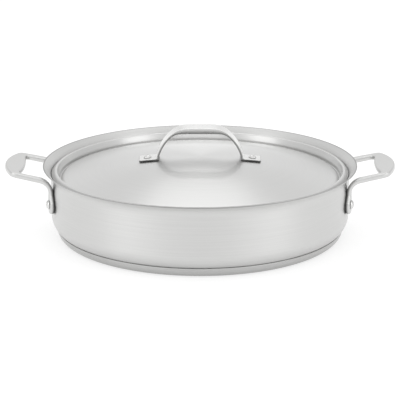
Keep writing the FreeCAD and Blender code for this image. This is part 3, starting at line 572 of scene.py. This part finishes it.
def arch_half(height, radius, root, foot_radius, heel):
    """One face of half the arch, from the middle to the foot's end: an arc that runs softly into the flat
    top, as the smooth least of both heights, -k ln(exp(-arc / k) + exp(-top / k)), then a leg, a heel
    where the leg turns into the foot, and the foot along the dome."""
    lean = np.radians(LEG_LEAN)
    bend = bow(ARCH_BEND, radius, 90, ROUND_END, BEND_POINTS)
    bend[:, 1] = -TOP_BLEND * np.logaddexp(-bend[:, 1] / TOP_BLEND, -height / TOP_BLEND)
    root_spot = on_circle(np.array(root), foot_radius)
    up_leg = root_spot + heel * np.array((-np.sin(lean), np.cos(lean)))
    on_foot = on_circle(np.array(root + heel), foot_radius)
    share = np.linspace(0, 1, HEEL_POINTS)[:, None]
    turn = (1 - share) ** 2 * up_leg + 2 * share * (1 - share) * root_spot + share ** 2 * on_foot
    foot = on_circle(np.linspace(root + heel, LID_FOOT_END, FOOT_POINTS), foot_radius)
    leg = straight(bend[-1], up_leg, LEG_POINTS)
    return lines(np.array([(0, bend[0, 1])]), bend, leg, turn, foot)


over = arch_half(ARCH_TOP, ROUND_OUT, LEG_OUT, FOOT_OVER_RADIUS, ROOT_ROUND)
under = arch_half(ARCH_UNDER, ROUND_IN, LEG_IN, FOOT_UNDER_RADIUS, ARCH_EDGE)
middle = (over + under) / 2
arch_run = np.append(0, np.cumsum(np.linalg.norm(np.diff(middle, axis=0), axis=1)))
arch_depth = np.linalg.norm(over - under, axis=1)
arch_way = (over - under) / arch_depth[:, None]
heel_and_foot = slice(1 - HEEL_POINTS - FOOT_POINTS, None)
foot_start = np.interp(LEG_OUT, middle[heel_and_foot, 0], arch_run[heel_and_foot])


def arch_half_depth(along):
    """Half the arch's thickness at a distance from its middle."""
    return np.interp(np.abs(along), arch_run, arch_depth / 2)


def bent_arch(across, along, rise):
    """The flat strap bent into the arch: its middle line, moved by rise from the under face to the
    upper one."""
    reach = np.abs(along)
    x = np.interp(reach, arch_run, middle[:, 0]) + rise * np.interp(reach, arch_run, arch_way[:, 0])
    z = np.interp(reach, arch_run, middle[:, 1]) + rise * np.interp(reach, arch_run, arch_way[:, 1])
    return np.stack((np.sign(along) * x, across, z), axis=-1)


def arch_unshaded(along, lift):
    """Painted shade by lift, as the light falls on the arch: none on top, part on the sides and nearly all
    underneath; and round the feet, for the shadow where they meet the dome.
    """
    lifts, unshaded_by_lift = (-1, -0.7, 0.5, 0.8, 1), (0.05, 0.2, 0.5, 0.85, 1)
    fade, foot_side, foot_top = 2, 0.6, 0.95
    at_foot = np.interp(np.abs(along), (foot_start - fade, foot_start), (0, 1))
    round_foot = at_foot * np.interp(lift, (foot_side, foot_top), (1, 0))
    return np.interp(lift, lifts, unshaded_by_lift) * (1 - round_foot)


arch_end = arch_run[-1]
toe = bow((ARCH_HALF_WIDTH - TOE_ROUND, arch_end - TOE_ROUND), TOE_ROUND, 0, 90)
strip = np.column_stack((np.full(len(arch_run), ARCH_HALF_WIDTH), arch_run))
strip = np.vstack((strip[strip[:, 1] < arch_end - TOE_ROUND - TOE_GAP], toe))
arch_edge = np.vstack((strip[:0:-1] * (1, -1), strip))
arch_facing = arch_edge * (-1, 1)
arch = strap("arch_grip", arch_edge, arch_facing, arch_half_depth, bent_arch, ARCH_EDGE, arch_unshaded)
arch.data.materials.append(satin_steel(
    "polished_cast_stainless", ARCH_LIGHT, ARCH_DARK, HANDLE_PAINTED_SHADE, ARCH_ROUGHNESS))
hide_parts("lid_handle")
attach(arch, "lid")

# Lid rivets: two smaller stainless rivets through the handle's feet and the dome, set square to it.
# Their heads are domed with a punched hollow, like the side rivets' heads.
LID_RIVET_CORNERS = [
    (0, -1.15, 0), (2.3, -1.15, 0.3), (4.6, -0.15, 0.1), (2.4, -0.15, 0), (2.4, 2.7, 0), (4.1, 2.7, 0.1),
    (3.16, 4.564, 3.1), (1.1, 4.9, 0.2), (0, 4.3, 0),
]
LID_RIVET_REACH, LID_RIVET_HOLLOW, LID_RIVET_EDGE = 52.9, 1.0, 2.9
rivet_section = rounded(LID_RIVET_CORNERS, RIVET_SPACING)
head_unshaded = rivet_unshaded(rivet_section, LID_RIVET_HOLLOW, LID_RIVET_EDGE)
for side, sign in (("left", -1), ("right", 1)):
    out_x = sign * LID_RIVET_REACH / DOME_RADIUS
    out_z = np.sqrt(1 - out_x ** 2)
    seat = DOME_RADIUS - LID_SHEET
    leaning = np.array((
        (out_z, 0, out_x, seat * out_x), (0, 1, 0, 0),
        (-out_x, 0, out_z, DOME_CENTRE + seat * out_z), (0, 0, 0, 1)))
    rivet = turned(
        f"lid_handle_{side}_rivet_head", rivet_section, head_unshaded, RIVET_AROUND, leaning)
    rivet.data.materials.append(rivet_finish)
    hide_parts(f"lid_handle_{side}_rivet")
    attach(rivet, "lid")

# Studio: a wide floor of white paper in a pale room, with one soft light high at the back, a wide one
# in front and a tall one at each side. The room is dimmer behind the camera, which draws the darker band
# down the middle of the wall. Lengths here are in metres.
FLOOR_HALF = 40.0
FLOOR_WHITE, FLOOR_GLOW, FLOOR_SHARE = "#f4f4f3", 0.66, 0.42
ROOM_WALLS = [
    (0, 0.46), (20, 0.66), (38, 1.32), (60, 1.05), (84, 0.85), (116, 0.75), (150, 0.9), (162, 0.95),
    (170, 0.74), (180, 1.0),
]
CEILING, CEILING_START, CEILING_FULL = 0.92, 0.08, 0.85
SOFTBOXES = [
    ("overhead_softbox", (0, 1.0, 1.7), (0.9, 0.8), 2.7),
    ("front_softbox", (0, -1.75, 1.35), (1.4, 0.6), 3),
    ("left_softbox", (-1.7, -1.0, 1.0), (0.9, 1.6), 3.4),
    ("right_softbox", (1.7, -1.0, 1.0), (0.9, 1.6), 3.4),
]
LAMP_AIM = Vector((0, 0, 0.05))
CAMERA_AWAY, CAMERA_PITCH, CAMERA_AIM = 1.585, np.radians(16.55), 0.0337
LENS, SENSOR = 139.8, 36.0
floor_mesh = bpy.data.meshes.new("paper_floor")
floor_mesh.from_pydata(
    [(-FLOOR_HALF, -FLOOR_HALF, 0), (FLOOR_HALF, -FLOOR_HALF, 0), (FLOOR_HALF, FLOOR_HALF, 0),
     (-FLOOR_HALF, FLOOR_HALF, 0)], [], [(0, 1, 2, 3)])
paper_floor = bpy.data.objects.new("paper_floor", floor_mesh)
bpy.context.scene.collection.objects.link(paper_floor)

# White paper is matt. To the eye and in the steel it glows a little, so that it looks white and still
# keeps the pan's shadow, and to all other light it is plain paper.
paper = bpy.data.materials.new("white_paper")
paper.use_nodes = True
tree = paper.node_tree
tree.nodes.clear()
path = add(tree, "ShaderNodeLightPath", {})
seen = add(tree, "ShaderNodeMath", {
    0: path.outputs["Is Camera Ray"], 1: path.outputs["Is Glossy Ray"]}, operation="MAXIMUM")
seen = add(tree, "ShaderNodeMath", {
    0: seen.outputs[0], 1: path.outputs["Is Transmission Ray"]}, operation="MAXIMUM")
plain = add(tree, "ShaderNodeBsdfDiffuse", {"Color": colour(FLOOR_WHITE)})
shaded = add(tree, "ShaderNodeBsdfDiffuse", {"Color": (FLOOR_SHARE, FLOOR_SHARE, FLOOR_SHARE, 1)})
glow = add(tree, "ShaderNodeEmission", {"Color": (1, 1, 1, 1), "Strength": FLOOR_GLOW})
lit = add(tree, "ShaderNodeAddShader", {0: shaded.outputs[0], 1: glow.outputs[0]})
mixed = add(tree, "ShaderNodeMixShader", {0: seen.outputs[0], 1: plain.outputs[0], 2: lit.outputs[0]})
add(tree, "ShaderNodeOutputMaterial", {"Surface": mixed.outputs[0]})
floor_mesh.materials.append(paper)

# The room: its walls' brightness by the angle from the camera's side, given in degrees, running up
# into the ceiling. A new ramp has a stop at each end, so both ends get two stops and lose one.
world = bpy.data.worlds.new("studio")
bpy.context.scene.world = world
world.use_nodes = True
tree = world.node_tree
tree.nodes.clear()
way = add(tree, "ShaderNodeTexCoord", {}).outputs["Generated"]
axes = add(tree, "ShaderNodeSeparateXYZ", {"Vector": way})
aside = add(tree, "ShaderNodeMath", {0: axes.outputs["X"]}, operation="ABSOLUTE")
ahead = add(tree, "ShaderNodeMath", {0: axes.outputs["Y"], 1: -1.0}, operation="MULTIPLY")
turn = add(tree, "ShaderNodeMath", {0: aside.outputs[0], 1: ahead.outputs[0]}, operation="ARCTAN2")
round_room = add(tree, "ShaderNodeMath", {0: turn.outputs[0], 1: np.pi}, operation="DIVIDE")
walls = add(tree, "ShaderNodeValToRGB", {"Fac": round_room.outputs[0]})
stops = walls.color_ramp.elements
for degrees, glow in ROOM_WALLS:
    stop = stops.new(degrees / 180)
    stop.color = (glow, glow, glow, 1)
stops.remove(stops[0])
stops.remove(stops[-1])
rise = add(tree, "ShaderNodeMapRange", {
    "Value": axes.outputs["Z"], "From Min": CEILING_START, "From Max": CEILING_FULL},
    interpolation_type="SMOOTHSTEP")
room = add(tree, "ShaderNodeMix", {
    0: rise.outputs[0], 6: walls.outputs[0], 7: (CEILING, CEILING, CEILING, 1)}, data_type="RGBA")
sky = add(tree, "ShaderNodeBackground", {"Color": room.outputs[2], "Strength": 1.0})
add(tree, "ShaderNodeOutputWorld", {"Surface": sky.outputs[0]})

for name, spot, size, power in SOFTBOXES:
    lamp = bpy.data.lights.new(name, "AREA")
    lamp.shape = "RECTANGLE"
    lamp.size, lamp.size_y = size
    lamp.energy = power
    softbox = bpy.data.objects.new(name, lamp)
    softbox.location = spot
    softbox.rotation_euler = (LAMP_AIM - Vector(spot)).to_track_quat("-Z", "Y").to_euler()
    bpy.context.scene.collection.objects.link(softbox)

view = bpy.data.cameras.new("photo_view")
view.lens, view.sensor_width = LENS, SENSOR
camera = bpy.data.objects.new("photo_view", view)
camera_back, camera_up = CAMERA_AWAY * np.cos(CAMERA_PITCH), CAMERA_AWAY * np.sin(CAMERA_PITCH)
camera.location = (0, -camera_back, CAMERA_AIM + camera_up)
camera.rotation_euler = (np.pi / 2 - CAMERA_PITCH, 0, 0)
bpy.context.scene.collection.objects.link(camera)
bpy.context.scene.camera = camera
bpy.context.scene.view_settings.view_transform = "Standard"
